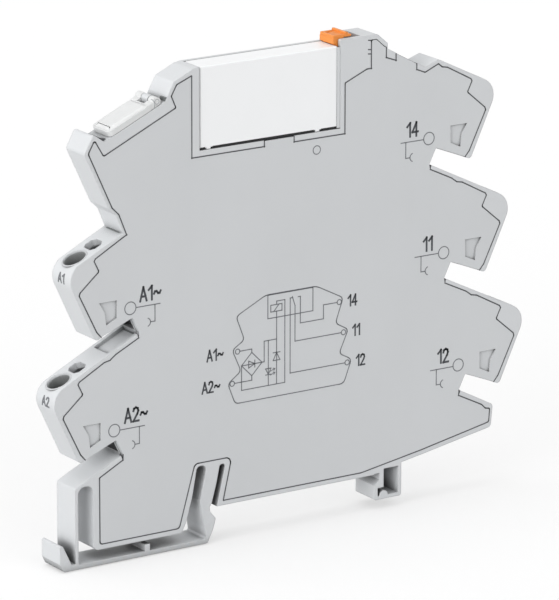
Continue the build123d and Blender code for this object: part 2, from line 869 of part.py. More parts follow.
def clamp_bar(nose, route):
    """The flat bar along its route, and the upright clamping plate at its outer end."""
    bend = nose_point(nose, bar_bend, bar_depth)
    plate = [
        (clamp_along - clamp_plate / 2, clamp_top),
        (clamp_along + clamp_plate / 2, clamp_top),
        (clamp_along + clamp_plate / 2, clamp_bottom),
        (clamp_along - clamp_plate / 2, clamp_bottom),
    ]
    with BuildPart() as bar:
        with BuildSketch(layer(bar_back)):
            with BuildLine():
                Polyline(*route, bend, nose_point(nose, clamp_along, bar_depth))
            trace(line_width=bar_width)
        extrude(amount=bar_thickness)
        with BuildSketch(layer(clamp_width / 2)):
            Polygon(*[nose_point(nose, along, depth) for along, depth in plate])
        extrude(amount=clamp_width)
    return bar.part


def board_tab(place_x, place_z):
    """A solder tab from the bar's sheet back to the circuit board."""
    with BuildPart() as tab:
        with BuildSketch(layer(board_front)):
            with Locations((place_x, place_z)):
                Rectangle(tab_width, tab_width)
        extrude(amount=board_front - bar_back + bar_thickness)
    return tab.part


run_11 = nose_point(nose_11, bar_bend, bar_depth)
run_12 = nose_point(nose_12, bar_bend, bar_depth)
run_a1 = nose_point(nose_a1, bar_bend, bar_depth)
run_a2 = nose_point(nose_a2, bar_bend, bar_depth)

with BuildPart() as current_bar_14:
    add(fork(open_pin))
    add(clamp_bar(nose_14, [(open_pin, fork_neck + 0.4), (open_pin, 57.4), (24.0, 60.0)]))

with BuildPart() as current_bar_11:
    add(fork(common_pin))
    add(clamp_bar(nose_11, [(common_pin, fork_neck + 0.4), (common_pin, run_11[1])]))

with BuildPart() as current_bar_12:
    add(fork(closed_pin))
    add(clamp_bar(nose_12, [(closed_pin, fork_neck + 0.4), (closed_pin, run_12[1])]))

with BuildPart() as current_bar_a1:
    add(clamp_bar(nose_a1, [(tab_place, run_a1[1])]))
    add(board_tab(tab_place, run_a1[1]))

with BuildPart() as current_bar_a2:
    add(clamp_bar(nose_a2, [(tab_place, run_a2[1])]))
    add(board_tab(tab_place, run_a2[1]))

with BuildPart() as coil_socket_a1:
    add(fork(coil_pin_left))
    add(board_tab(coil_pin_left, fork_neck + tab_width / 2))

with BuildPart() as coil_socket_a2:
    add(fork(coil_pin_right))
    add(board_tab(coil_pin_right, fork_neck + tab_width / 2))


def clamp_spring(nose):
    """A push-in spring: fixed leg, bend over a post, and the leg that presses on the wire."""
    with BuildPart() as spring:
        with BuildSketch(layer(clamp_width / 2)):
            with BuildLine():
                FilletPolyline(
                    [nose_point(nose, along, depth) for along, depth in spring_route],
                    radius=spring_bend,
                )
            trace(line_width=spring_thickness)
        extrude(amount=clamp_width)
    return spring.part


with BuildPart() as clamp_spring_14:
    add(clamp_spring(nose_14))

with BuildPart() as clamp_spring_11:
    add(clamp_spring(nose_11))

with BuildPart() as clamp_spring_12:
    add(clamp_spring(nose_12))

with BuildPart() as clamp_spring_a1:
    add(clamp_spring(nose_a1))

with BuildPart() as clamp_spring_a2:
    add(clamp_spring(nose_a2))

# Circuit board with an ear under the light guide, and holes for the pegs
with BuildPart() as circuit_board:
    with BuildSketch(layer(board_back)):
        Polygon(*board_outline)
        with Locations(board_pegs):
            Circle(peg_radius + peg_gap, mode=Mode.SUBTRACT)
    extrude(amount=board_thickness)


def chip(place, size_x, size_z, height, lead_places, lead_x, lead_z):
    """A moulded chip body standing on the board, with its flat soldered leads."""
    with BuildPart() as body:
        with BuildSketch(layer(board_front)):
            with Locations(place):
                Rectangle(size_x, size_z)
        extrude(amount=height)
        chamfer(body.faces().sort_by(Axis.Y)[0].edges(), chip_chamfer)
        if lead_places:
            with BuildSketch(layer(board_front)):
                with Locations(lead_places):
                    Rectangle(lead_x, lead_z)
            extrude(amount=lead_height)
    return body.part


with BuildPart() as bridge_rectifier:
    lead_corners = [(-16.3, 25.4), (-13.7, 25.4), (-16.3, 30.6), (-13.7, 30.6)]
    add(chip((-15.0, 28.0), 4.7, 3.9, 2.3, lead_corners, 0.7, 1.5))

with BuildPart() as freewheel_diode:
    add(chip((-11.5, 44.0), 2.6, 4.3, 2.1, [(-11.5, 41.4), (-11.5, 46.6)], 1.4, 1.1))

with BuildPart() as filter_capacitor:
    add(chip((-19.0, 45.0), 2.5, 3.2, 1.6, [(-19.0, 43.1), (-19.0, 46.9)], 2.5, 0.7))

with BuildPart() as led_resistor:
    add(chip((-27.0, 61.3), 3.2, 1.6, 0.55, [(-28.9, 61.3), (-25.1, 61.3)], 0.7, 1.6))

with BuildPart() as status_led:
    add(chip((guide_x, 64.3), 1.6, 1.5, 0.9, [], 0, 0))

with BuildPart() as light_guide:
    with BuildSketch(Plane.XY.offset(guide_bottom)):
        with Locations((guide_x, guide_y)):
            Rectangle(guide_width, guide_depth)
    extrude(amount=guide_length)

pieces = {
    "housing_shell": housing_shell,
    "side_cover": side_cover,
    "ejector_lever": ejector_lever,
    "marker_cover": marker_cover,
    "relay_case": relay_case,
    "relay_base": relay_base,
    "coil_pin_a1": coil_pin_a1,
    "coil_pin_a2": coil_pin_a2,
    "common_terminal": common_terminal,
    "coil_bobbin": coil_bobbin,
    "coil_winding": coil_winding,
    "coil_core": coil_core,
    "yoke": yoke,
    "armature": armature,
    "pusher_card": pusher_card,
    "moving_contact_blade": moving_contact_blade,
    "normally_closed_contact": normally_closed_contact,
    "normally_open_contact": normally_open_contact,
    "current_bar_14": current_bar_14,
    "current_bar_11": current_bar_11,
    "current_bar_12": current_bar_12,
    "current_bar_a1": current_bar_a1,
    "current_bar_a2": current_bar_a2,
    "coil_socket_a1": coil_socket_a1,
    "coil_socket_a2": coil_socket_a2,
    "clamp_spring_14": clamp_spring_14,
    "clamp_spring_11": clamp_spring_11,
    "clamp_spring_12": clamp_spring_12,
    "clamp_spring_a1": clamp_spring_a1,
    "clamp_spring_a2": clamp_spring_a2,
    "circuit_board": circuit_board,
    "bridge_rectifier": bridge_rectifier,
    "freewheel_diode": freewheel_diode,
    "filter_capacitor": filter_capacitor,
    "led_resistor": led_resistor,
    "status_led": status_led,
    "light_guide": light_guide,
}

os.makedirs("parts", exist_ok=True)
for name, piece in pieces.items():
    piece.part.label = name
    export_step(piece.part, f"parts/{name}.step")
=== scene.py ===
import json
import math

import bmesh
import bpy
from mathutils import Matrix, Vector
from mathutils.bvhtree import BVHTree


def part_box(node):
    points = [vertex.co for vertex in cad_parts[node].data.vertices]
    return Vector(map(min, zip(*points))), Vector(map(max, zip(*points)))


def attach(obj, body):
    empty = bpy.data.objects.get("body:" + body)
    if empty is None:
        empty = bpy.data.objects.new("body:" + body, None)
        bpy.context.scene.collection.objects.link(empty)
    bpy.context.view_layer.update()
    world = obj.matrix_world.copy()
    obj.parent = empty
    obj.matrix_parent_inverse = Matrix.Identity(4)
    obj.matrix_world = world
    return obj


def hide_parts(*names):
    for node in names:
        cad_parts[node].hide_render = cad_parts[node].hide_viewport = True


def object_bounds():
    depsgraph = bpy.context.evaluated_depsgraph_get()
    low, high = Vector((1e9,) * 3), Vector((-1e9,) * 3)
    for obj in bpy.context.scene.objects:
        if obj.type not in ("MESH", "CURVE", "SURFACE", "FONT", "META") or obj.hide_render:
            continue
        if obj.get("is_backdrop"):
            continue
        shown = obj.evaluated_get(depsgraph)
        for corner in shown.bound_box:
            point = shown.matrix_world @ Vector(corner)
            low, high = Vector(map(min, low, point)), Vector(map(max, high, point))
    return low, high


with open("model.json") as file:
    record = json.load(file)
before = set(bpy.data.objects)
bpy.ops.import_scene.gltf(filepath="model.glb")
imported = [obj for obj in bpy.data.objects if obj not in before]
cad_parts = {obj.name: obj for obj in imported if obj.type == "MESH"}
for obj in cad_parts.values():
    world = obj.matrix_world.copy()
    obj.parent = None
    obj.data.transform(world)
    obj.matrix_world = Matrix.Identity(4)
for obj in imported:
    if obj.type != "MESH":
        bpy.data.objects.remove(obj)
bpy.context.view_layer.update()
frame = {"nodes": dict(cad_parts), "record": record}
nodes = frame["nodes"]
scene = bpy.context.scene
mm = 0.001
print("frame loaded with", len(nodes), "nodes")


# Camera: long lens, from the left front and a little above
cameraLook = {
    "place": (-496.8, -756.7, 291.8),  # mm
    "turn": -33.226,  # degrees
    "tilt": 74.097,
    "roll": 0.089,
    "lens": 326.3,  # mm
    "sensor": 36,  # mm
    "near": 0.05,  # m
    "far": 20,
}


def makeCamera(look):
    camera = bpy.data.objects.new("camera", bpy.data.cameras.new("camera"))
    scene.collection.objects.link(camera)
    camera.data.sensor_width = look["sensor"]
    camera.data.lens = look["lens"]
    camera.data.clip_start = look["near"]
    camera.data.clip_end = look["far"]
    camera.matrix_world = (
        Matrix.Translation(Vector(look["place"]) * mm)
        @ Matrix.Rotation(math.radians(look["turn"]), 4, "Z")
        @ Matrix.Rotation(math.radians(look["tilt"]), 4, "X")
        @ Matrix.Rotation(math.radians(look["roll"]), 4, "Z")
    )
    scene.camera = camera


makeCamera(cameraLook)
scene.view_settings.view_transform = "Standard"
print("camera placed")


# Small helpers for shader nodes
def newMaterial(name):
    material = bpy.data.materials.new(name)
    material.use_nodes = True
    tree = material.node_tree
    tree.nodes.clear()
    output = tree.nodes.new("ShaderNodeOutputMaterial")
    return material, tree, output


def newSurface(name):
    material, tree, output = newMaterial(name)
    shader = tree.nodes.new("ShaderNodeBsdfPrincipled")
    tree.links.new(shader.outputs["BSDF"], output.inputs["Surface"])
    return material, tree, shader


def mapped(tree, scale=(1, 1, 1), turn=(0, 0, 0)):
    coords = tree.nodes.new("ShaderNodeTexCoord")
    mapping = tree.nodes.new("ShaderNodeMapping")
    mapping.inputs["Scale"].default_value = scale
    mapping.inputs["Rotation"].default_value = turn
    tree.links.new(coords.outputs["Object"], mapping.inputs["Vector"])
    return mapping.outputs["Vector"]


def noiseAt(tree, vector, size, detail):
    noise = tree.nodes.new("ShaderNodeTexNoise")  # size is the grain in mm
    noise.inputs["Scale"].default_value = 1 / (size * mm)
    noise.inputs["Detail"].default_value = detail
    noise.inputs["Roughness"].default_value = 0.55
    tree.links.new(vector, noise.inputs["Vector"])
    return noise.outputs["Fac"]


def rampOf(tree, factor, limits, colours):
    ramp = tree.nodes.new("ShaderNodeValToRGB")
    for element, limit, colour in zip(ramp.color_ramp.elements, limits, colours):
        element.position = limit
        element.color = (*colour, 1)
    tree.links.new(factor, ramp.inputs["Fac"])
    return ramp.outputs["Color"]


noiseSpan = (0.3, 0.7)  # nearly all values of a noise lie between these


def roughnessFrom(tree, shader, factor, low, high):
    span = tree.nodes.new("ShaderNodeMapRange")
    span.inputs["From Min"].default_value, span.inputs["From Max"].default_value = noiseSpan
    span.inputs["To Min"].default_value = low
    span.inputs["To Max"].default_value = high
    tree.links.new(factor, span.inputs["Value"])
    tree.links.new(span.outputs["Result"], shader.inputs["Roughness"])


# With an edge radius in mm, the shading of moulded edges is rounded too
def bumpFrom(tree, shader, height, strength, depth, edge=0.0):
    bump = tree.nodes.new("ShaderNodeBump")
    bump.inputs["Strength"].default_value = strength
    bump.inputs["Distance"].default_value = depth * mm
    tree.links.new(height, bump.inputs["Height"])
    if edge > 0:
        bevel = tree.nodes.new("ShaderNodeBevel")
        bevel.samples = 6
        bevel.inputs["Radius"].default_value = edge * mm
        tree.links.new(bevel.outputs["Normal"], bump.inputs["Normal"])
    tree.links.new(bump.outputs["Normal"], shader.inputs["Normal"])


# Painted shade: narrow gaps and deep openings lose light, so ambient occlusion darkens the base colour
# there
creviceShadeLook = {"samples": 6, "closed": 0.15, "open": 0.8}


def paintCreviceShade(tree, colour, depth, dark):
    occlusion = tree.nodes.new("ShaderNodeAmbientOcclusion")
    occlusion.samples = creviceShadeLook["samples"]
    occlusion.inputs["Distance"].default_value = depth * mm
    openAir = tree.nodes.new("ShaderNodeMapRange")
    openAir.inputs["From Min"].default_value = creviceShadeLook["closed"]
    openAir.inputs["From Max"].default_value = creviceShadeLook["open"]
    tree.links.new(occlusion.outputs["AO"], openAir.inputs["Value"])
    mix = tree.nodes.new("ShaderNodeMix")
    mix.data_type = "RGBA"
    mix.inputs["A"].default_value = (dark, dark, dark, 1)
    tree.links.new(openAir.outputs["Result"], mix.inputs["Factor"])
    tree.links.new(colour, mix.inputs["B"])
    return mix.outputs["Result"]


def linear(red, green, blue):
    def one(value):
        value = value / 255
        return value / 12.92 if value <= 0.04045 else ((value + 0.055) / 1.055) ** 2.4
    return one(red), one(green), one(blue)


def shade(colour, factor):
    return tuple(min(1.0, channel * factor) for channel in colour)


# Moulded plastics: fine spark-eroded grain, faint flow marks, softened edges, and painted shade in
# crevices where a reach is given. Lengths in mm
plasticLook = {
    "stretch": (1, 1, 1), "ramp": (0.25, 0.75), "bump": 0.25, "bumpDepth": 0.01, "edge": 0.0,
    "specular": 0.4, "smoother": 0.05, "rougher": 0.06, "creviceShadeReach": 0.0,
}


def plastic(name, ownLook):
    look = {**plasticLook, **ownLook}
    material, tree, shader = newSurface(name)
    colour = linear(*look["colour"])
    flow = noiseAt(tree, mapped(tree, look["stretch"]), look["flow"], 3.0)
    spread = look["spread"]
    tint = rampOf(tree, flow, look["ramp"], (shade(colour, 1 - spread), shade(colour, 1 + spread)))
    # painted shade: the base colour darkens where occlusion finds nearby surfaces
    if look["creviceShadeReach"] > 0:
        tint = paintCreviceShade(tree, tint, look["creviceShadeReach"], look["deep"])
    tree.links.new(tint, shader.inputs["Base Color"])
    grain = noiseAt(tree, mapped(tree), look["grain"], 2.0)
    roughnessFrom(tree, shader, grain, look["rough"] - look["smoother"], look["rough"] + look["rougher"])
    bumpFrom(tree, shader, grain, look["bump"], look["bumpDepth"], look["edge"])
    shader.inputs["Specular IOR Level"].default_value = look["specular"]
    return material


# Metals: drawn or stamped, with fine lines along one direction
metalLook = {
    "stretch": (0.15, 1, 1), "dark": 0.88, "light": 1.06, "bump": 0.2, "bumpDepth": 0.01,
    "smoother": 0.06, "rougher": 0.08,
}


def metal(name, ownLook):
    look = {**metalLook, **ownLook}
    material, tree, shader = newSurface(name)
    colour = linear(*look["colour"])
    lines = noiseAt(tree, mapped(tree, look["stretch"]), look["grain"], 3.0)
    tint = rampOf(tree, lines, noiseSpan, (shade(colour, look["dark"]), shade(colour, look["light"])))
    tree.links.new(tint, shader.inputs["Base Color"])
    roughnessFrom(tree, shader, lines, look["rough"] - look["smoother"], look["rough"] + look["rougher"])
    bumpFrom(tree, shader, lines, look["bump"], look["bumpDepth"])
    shader.inputs["Metallic"].default_value = 1.0
    return material


# Clear moulded plastic with faint haze and fine scratches
clearLook = {
    "stretch": (0.3, 1, 1), "grain": 0.5, "dark": 0.96, "bump": 0.15, "bumpDepth": 0.02, "edge": 0.15,
    "smoother": 0.04, "rougher": 0.05, "bending": 1.49,
}


def clearPlastic(name, ownLook):
    look = {**clearLook, **ownLook}
    material, tree, shader = newSurface(name)
    colour = linear(*look["colour"])
    haze = noiseAt(tree, mapped(tree, look["stretch"]), look["grain"], 3.0)
    tint = rampOf(tree, haze, noiseSpan, (shade(colour, look["dark"]), colour))
    tree.links.new(tint, shader.inputs["Base Color"])
    roughnessFrom(tree, shader, haze, look["rough"] - look["smoother"], look["rough"] + look["rougher"])
    bumpFrom(tree, shader, haze, look["bump"], look["bumpDepth"], look["edge"])
    shader.inputs["IOR"].default_value = look["bending"]
    shader.inputs["Transmission Weight"].default_value = look["clear"]
    return material


# Enamelled wire: turns side by side along the bobbin
def woundWire(name, look):
    material, tree, shader = newSurface(name)
    wave = tree.nodes.new("ShaderNodeTexWave")
    wave.wave_type = "BANDS"
    wave.bands_direction = "X"
    wave.inputs["Scale"].default_value = math.tau / 20 / (look["wire"] * mm)  # one band per turn
    wave.inputs["Distortion"].default_value = look["uneven"]
    wave.inputs["Detail"].default_value = 1.0
    tree.links.new(mapped(tree), wave.inputs["Vector"])
    colour = linear(*look["colour"])
    shades = shade(colour, look["dark"]), shade(colour, look["light"])
    tint = rampOf(tree, wave.outputs["Fac"], (0, 1), shades)
    tree.links.new(tint, shader.inputs["Base Color"])
    bumpFrom(tree, shader, wave.outputs["Fac"], look["bump"], look["bumpDepth"])
    shader.inputs["Metallic"].default_value = look["metallic"]
    shader.inputs["Roughness"].default_value = look["rough"]
    return material


# Solder resist over copper tracks
def boardResist(name, look):
    material, tree, shader = newSurface(name)
    tracks = tree.nodes.new("ShaderNodeTexBrick")
    tracks.inputs["Scale"].default_value = 1 / (look["tracks"] * mm)
    tracks.inputs["Mortar Size"].default_value = look["gap"]
    tracks.inputs["Brick Width"].default_value = look["length"]
    tracks.inputs["Row Height"].default_value = look["row"]
    colour = linear(*look["colour"])
    tracks.inputs["Color1"].default_value = (*colour, 1)
    tracks.inputs["Color2"].default_value = (*shade(colour, look["dark"]), 1)
    tracks.inputs["Mortar"].default_value = (*shade(colour, look["light"]), 1)
    tree.links.new(mapped(tree, turn=(math.pi / 2, 0, 0)), tracks.inputs["Vector"])
    tree.links.new(tracks.outputs["Color"], shader.inputs["Base Color"])
    bumpFrom(tree, shader, tracks.outputs["Fac"], look["bump"], look["bumpDepth"])
    shader.inputs["Roughness"].default_value = look["rough"]
    return material


finishes = {
    # housing and cover: painted shade darkens their crevices, down to the deep grey in the closest ones
    "housing_grey": plastic("housingGrey", {
        "colour": (206, 208, 210), "rough": 0.55, "grain": 0.14, "edge": 0.28, "spread": 0.018,
        "flow": 14.0, "creviceShadeReach": 3.0, "deep": 0.04}),
    "cover_grey": plastic("coverGrey", {
        "colour": (203, 205, 207), "rough": 0.56, "grain": 0.14, "edge": 0.1, "spread": 0.02,
        "flow": 18.0, "stretch": (1, 1, 0.6), "creviceShadeReach": 1.2, "deep": 0.03}),
    "lever_orange": plastic("leverOrange", {
        "colour": (226, 136, 56), "rough": 0.42, "grain": 0.2, "edge": 0.12, "spread": 0.05,
        "flow": 2.5, "specular": 0.5}),
    "relay_white": plastic("relayWhite", {
        "colour": (242, 243, 244), "rough": 0.36, "grain": 0.25, "edge": 0.18, "spread": 0.008,
        "flow": 8.0, "bump": 0.12, "specular": 0.5}),
    "base_black": plastic("baseBlack", {
        "colour": (38, 38, 40), "rough": 0.5, "grain": 0.15, "edge": 0.1, "spread": 0.12, "flow": 4.0}),
    "bobbin_cream": plastic("bobbinCream", {
        "colour": (226, 214, 178), "rough": 0.5, "grain": 0.2, "edge": 0.08, "spread": 0.04, "flow": 4.0}),
    "chip_black": plastic("chipBlack", {
        "colour": (44, 44, 46), "rough": 0.6, "grain": 0.1, "edge": 0.06, "spread": 0.15, "flow": 1.5}),
    "chip_beige": plastic("chipBeige", {
        "colour": (196, 172, 130), "rough": 0.45, "grain": 0.2, "edge": 0.05, "spread": 0.08,
        "flow": 1.0}),
    "clear_plastic": clearPlastic("clearPlastic", {
        "colour": (226, 227, 227), "rough": 0.34, "clear": 0.12}),
    "led_lens": clearPlastic("ledLens", {
        "colour": (186, 226, 150), "rough": 0.2, "clear": 0.6}),
    "winding_copper": woundWire("windingCopper", {
        "colour": (188, 96, 52), "wire": 0.12, "uneven": 0.35, "dark": 0.45, "light": 1.1, "bump": 0.7,
        "bumpDepth": 0.03, "metallic": 0.7, "rough": 0.32}),
    "soft_iron": metal("softIron", {"colour": (176, 178, 178), "rough": 0.42, "grain": 0.18}),
    "contact_alloy": metal("contactAlloy", {
        "colour": (214, 178, 118), "rough": 0.3, "grain": 0.15, "stretch": (1, 1, 0.12)}),
    "tinned_bar": metal("tinnedBar", {"colour": (214, 214, 210), "rough": 0.36, "grain": 0.2}),
    "spring_steel": metal("springSteel", {"colour": (198, 200, 202), "rough": 0.24, "grain": 0.12}),
    "board_green": boardResist("boardGreen", {
        "colour": (36, 108, 62), "tracks": 4.0, "gap": 0.05, "length": 0.9, "row": 0.45, "dark": 0.9,
        "light": 1.8, "bump": 0.4, "bumpDepth": 0.03, "rough": 0.3}),
}

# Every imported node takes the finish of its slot
for subpart in frame["record"]["subparts"]:
    node = nodes[subpart["node"]]
    node.data.materials.clear()
    node.data.materials.append(finishes[subpart["material_slot"]])
print("finishes on all nodes")


# Ink: grey pad print, slightly uneven. The seam, crease and deep colours are painted shade in gaps,
# creases and holes; deep is also the black of the relay base
inkLook = {
    "numbers": (72, 74, 78), "lines": (112, 114, 118), "pale": (172, 174, 176), "seamShade": (78, 79, 82),
    "creaseShade": (112, 115, 115), "deep": (30, 30, 32), "patch": 0.35, "dark": 0.88, "light": 1.2,
    "rough": (0.4, 0.55), "specular": 0.3,
    "thick": 0.02, "proud": 0.012,  # mm
}


def inkMaterial(name, colour):
    material, tree, shader = newSurface(name)
    base = linear(*colour)
    patches = noiseAt(tree, mapped(tree), inkLook["patch"], 2.0)
    tint = rampOf(tree, patches, noiseSpan, (shade(base, inkLook["dark"]), shade(base, inkLook["light"])))
    tree.links.new(tint, shader.inputs["Base Color"])
    roughnessFrom(tree, shader, patches, *inkLook["rough"])
    shader.inputs["Specular IOR Level"].default_value = inkLook["specular"]
    return material


numberInk = inkMaterial("numberInk", inkLook["numbers"])
lineInk = inkMaterial("lineInk", inkLook["lines"])
paleInk = inkMaterial("paleInk", inkLook["pale"])
# the seam, crease and deep inks paint shade, not print
seamShadeInk = inkMaterial("seamShadeInk", inkLook["seamShade"])
creaseShadeInk = inkMaterial("creaseShadeInk", inkLook["creaseShade"])
deepDark = inkMaterial("deepDark", inkLook["deep"])


# A print sheet is a bmesh drawn flat, x to the right and y up, that is stood on a face at the end
def stroke(sheet, start, end, width):
    start, end = Vector(start), Vector(end)
    run = end - start
    made = bmesh.ops.create_cube(sheet, size=1)
    turn = Matrix.Rotation(math.atan2(run.y, run.x), 4, "Z")
    scale = Matrix.Diagonal((run.length + width, width, inkLook["thick"], 1))
    middle = (start + end) / 2
    bmesh.ops.transform(
        sheet, verts=made["verts"], matrix=Matrix.Translation((middle.x, middle.y, 0)) @ turn @ scale)


def strokes(sheet, points, width, closed=False):
    ends = points[1:] + points[:1] if closed else points[1:]
    for start, end in zip(points, ends):
        stroke(sheet, start, end, width)


def roundedLoop(points, radius, steps=4):
    loop = []
    for before, corner, after in zip(points[-1:] + points[:-1], points, points[1:] + points[:1]):
        corner = Vector(corner)
        enter = corner + (Vector(before) - corner).normalized() * radius
        leave = corner + (Vector(after) - corner).normalized() * radius
        for step in range(steps + 1):
            t = step / steps
            loop.append(enter * (1 - t) ** 2 + corner * 2 * t * (1 - t) + leave * t ** 2)
    return loop


def ring(sheet, middle, radius, width, start=0, turn=360):
    half = inkLook["thick"] / 2
    inner, outer = radius - width / 2, radius + width / 2
    turnIn = Matrix.Rotation(math.radians(start), 4, "Z")
    place = Matrix.Translation((middle[0], middle[1], 0)) @ turnIn
    corners = [sheet.verts.new(place @ Vector(corner)) for corner in (
        (inner, 0, -half), (outer, 0, -half), (outer, 0, half), (inner, 0, half))]
    section = sheet.faces.new(corners)
    bmesh.ops.spin(
        sheet, geom=[section, *section.edges, *corners], cent=(middle[0], middle[1], 0), axis=(0, 0, 1),
        angle=math.radians(turn), steps=max(6, round(turn / 12)), use_merge=turn == 360,
        use_duplicate=False)


# Plain letters as strokes in a box one unit high, each with its advance
letterStrokes = {
    "1": (0.56, [[(0.04, 0.74), (0.34, 1.0), (0.34, 0.0)]]),
    "2": (0.74, [[
        (0.04, 0.76), (0.1, 0.92), (0.28, 1.0), (0.46, 0.92), (0.51, 0.74), (0.42, 0.52), (0.03, 0.0),
        (0.54, 0.0)]]),
    "4": (0.76, [[(0.42, 0.0), (0.42, 1.0), (0.02, 0.3), (0.58, 0.3)]]),
    "A": (0.8, [[(0.0, 0.0), (0.31, 1.0), (0.62, 0.0)], [(0.1, 0.32), (0.52, 0.32)]]),
    "~": (0.8, [[(0.0, 0.4), (0.1, 0.55), (0.24, 0.55), (0.4, 0.4), (0.54, 0.4), (0.64, 0.55)]]),
}


def words(sheet, text, corner, height, width, narrow=0.85):
    across = corner[0]
    for letter in text:
        advance, lines = letterStrokes[letter]
        for line in lines:
            points = [(across + x * height * narrow, corner[1] + y * height) for x, y in line]
            strokes(sheet, points, width)
        across += advance * height * narrow


def standOn(sheet, name, matrix, material, body="housing"):
    bmesh.ops.recalc_face_normals(sheet, faces=sheet.faces)
    bmesh.ops.transform(sheet, verts=sheet.verts, matrix=Matrix.Diagonal((mm, mm, mm, 1)) @ matrix)
    mesh = bpy.data.meshes.new(name)
    sheet.to_mesh(mesh)
    sheet.free()
    piece = bpy.data.objects.new(name, mesh)
    scene.collection.objects.link(piece)
    mesh.materials.append(material)
    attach(piece, body)
    return piece


# Boxes with softened edges, by their two corners in mm
def softBox(sheet, low, high, soft=0.0):
    low, high = Vector(low), Vector(high)
    made = bmesh.ops.create_cube(sheet, size=1)
    scale = Matrix.Diagonal((*(high - low), 1))
    bmesh.ops.transform(sheet, verts=made["verts"], matrix=Matrix.Translation((low + high) / 2) @ scale)
    if soft > 0:
        edges = list({edge for vert in made["verts"] for edge in vert.link_edges})
        bmesh.ops.bevel(
            sheet, geom=edges, offset=soft, offset_type="OFFSET", segments=3, profile=0.5, affect="EDGES",
            material=-1)


# On the cover: x and y of the sheet are the model's X and Z
upright = Matrix.Rotation(math.radians(90), 4, "X")
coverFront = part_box("side_cover")[0].y / mm
onCover = Matrix.Translation((0, coverFront - inkLook["proud"], 0)) @ upright

# Terminal marks on the cover: a small ring, a short line with a stem and an arc, and the number
terminalPrint = {
    "14": {
        "ring": (27.93, 59.51), "line": (22.04, 26.79, 59.46),
        "stem": (23.05, 56.61), "text": (23.25, 60.4)},
    "11": {
        "ring": (31.3, 38.4), "line": (25.2, 30.1, 38.45),
        "stem": (26.48, 35.62), "text": (26.95, 39.3)},
    "12": {
        "ring": (34.67, 17.3), "line": (28.72, 33.58, 17.2),
        "stem": (29.98, 14.38), "text": (30.25, 18.3)},
    "A1~": {
        "ring": (-33.27, 38.3), "line": (-32.13, -27.35, 38.26),
        "stem": (-28.37, 35.3), "text": (-31.3, 39.2)},
    "A2~": {
        "ring": (-36.63, 17.2), "line": (-35.48, -30.57, 17.11),
        "stem": (-31.62, 14.07), "text": (-34.5, 18.2)},
}
terminalSizes = {
    "ring": 1.11, "line": 0.17, "height": 2.4, "bold": 0.38, "arc": 0.75, "foot": 0.9, "arcTurn": 150,
}


def drawTerminals(sizes):
    numbers, lines = bmesh.new(), bmesh.new()
    for text, marks in terminalPrint.items():
        ring(lines, marks["ring"], sizes["ring"], sizes["line"])
        left, right, level = marks["line"]
        stroke(lines, (left, level), (right, level), sizes["line"])
        stemX, stemEnd = marks["stem"]
        stroke(lines, (stemX, level), (stemX, stemEnd), sizes["line"])
        side = -1 if text.startswith("A") else 1
        foot = stemX + side * sizes["foot"]
        stroke(lines, (stemX, stemEnd), (foot, stemEnd), sizes["line"])
        start = (0 if side < 0 else 180) - sizes["arcTurn"] / 2
        middle = (foot + side * sizes["arc"], stemEnd)
        ring(lines, middle, sizes["arc"], sizes["line"], start, sizes["arcTurn"])
        words(numbers, text, marks["text"], sizes["height"], sizes["bold"])
    standOn(numbers, "terminal_numbers", onCover, numberInk)
    standOn(lines, "terminal_marks", onCover, lineInk)


drawTerminals(terminalSizes)
print("terminal print done")

# Wiring diagram in the middle of the cover
diagramPrint = {
    "line": 0.17,
    "corner": 0.8,
    "outline": [
        (-5.9, 36.4), (4.5, 36.4), (10.1, 33.5), (8.5, 29.1), (11.2, 27.6), (9.3, 23.5), (11.9, 22.1),
        (10.3, 17.9), (-12.2, 17.9), (-13.7, 21.7), (-11.0, 23.6), (-12.8, 27.6), (-10.3, 29.1),
        (-12.0, 33.5)],
    "closed": [
        [(-5.5, 36.3), (3.8, 36.3), (3.8, 32.1), (-5.5, 32.1)],  # relay
        [(-4.9, 34.4), (-2.6, 34.4), (-2.6, 33.2), (-4.9, 33.2)],  # its coil
        [(-10.9, 24.5), (-8.8, 26.6), (-6.7, 24.5), (-8.8, 22.4)]],  # bridge rectifier
    "open": [
        [(-4.3, 33.2), (-3.2, 34.4)],
        [(-10.9, 24.5), (-6.7, 24.5)],
        [(8.85, 32.8), (6.0, 32.8), (6.0, 30.3), (1.2, 30.3), (1.2, 35.1), (0.75, 35.1)],  # open contact
        [(9.75, 27.2), (0.1, 27.2), (0.1, 33.6), (-0.45, 35.3)],  # common, with its blade
        [(10.55, 21.6), (-0.9, 21.6), (-0.9, 35.1), (-0.45, 35.1)],  # closed contact
        [(-11.25, 27.2), (-8.8, 27.2), (-8.8, 26.6)],  # inputs to the bridge
        [(-12.35, 21.6), (-8.8, 21.6), (-8.8, 22.4)],
        [(-10.9, 24.5), (-10.9, 20.1), (-2.0, 20.1), (-2.0, 35.0), (-3.7, 35.0), (-3.7, 34.4)],
        [(-6.7, 24.5), (-6.25, 24.5), (-6.25, 28.2), (-3.7, 28.2), (-3.7, 33.2)],  # bridge to coil
        [(-5.4, 28.2), (-5.4, 20.1)],
        [(-3.7, 28.2), (-3.7, 20.1)]],
    "terminals": [(-11.7, 27.2), (-12.8, 21.6), (9.3, 32.8), (10.2, 27.2), (11.0, 21.6)], "terminal": 0.45,
    "diodes": [((-8.8, 24.5), (1, 0), 0.62), ((-3.7, 25.1), (0, 1), 0.7), ((-5.4, 22.6), (0, -1), 0.55)],
    "light": [(-4.95, 22.6), (-4.95, 21.9)],
    "numbers": {
        "14": (11.1, 31.8), "11": (12.1, 26.3), "12": (12.9, 20.7),
        "A1~": (-17.9, 26.4), "A2~": (-18.9, 20.8)},
    "height": 1.9, "bold": 0.3,
}
